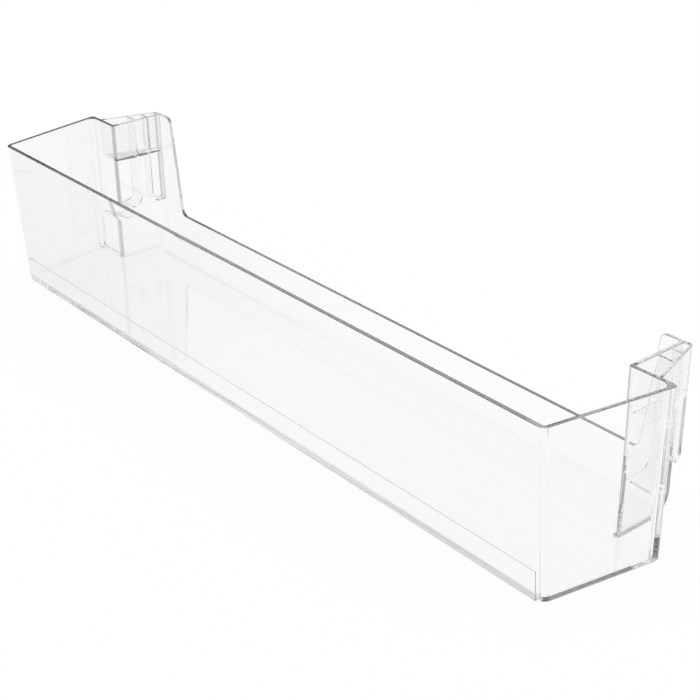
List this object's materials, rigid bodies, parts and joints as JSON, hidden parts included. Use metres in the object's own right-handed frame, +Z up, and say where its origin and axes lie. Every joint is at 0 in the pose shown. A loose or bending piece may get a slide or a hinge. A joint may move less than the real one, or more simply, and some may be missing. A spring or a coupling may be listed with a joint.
{
  "type": "fridge door shelf",
  "caption": "Long clear moulded tray with a high front, wider end pockets, a low back rail and hanging brackets that drop over lugs of a fridge door's liner.",
  "frame": {"origin": "on the flat base, under the middle of the shelf's length and depth", "axes": "+X along the shelf, -Y towards the kitchen (front wall), +Y towards the door, +Z up"},
  "size_m": [0.499, 0.1094, 0.0945],
  "materials": {
    "clear_polystyrene": "clear, mould-polished"
  },
  "bodies": {
    "root": {"door_shelf": "clear_polystyrene"}
  },
  "joints": []
}
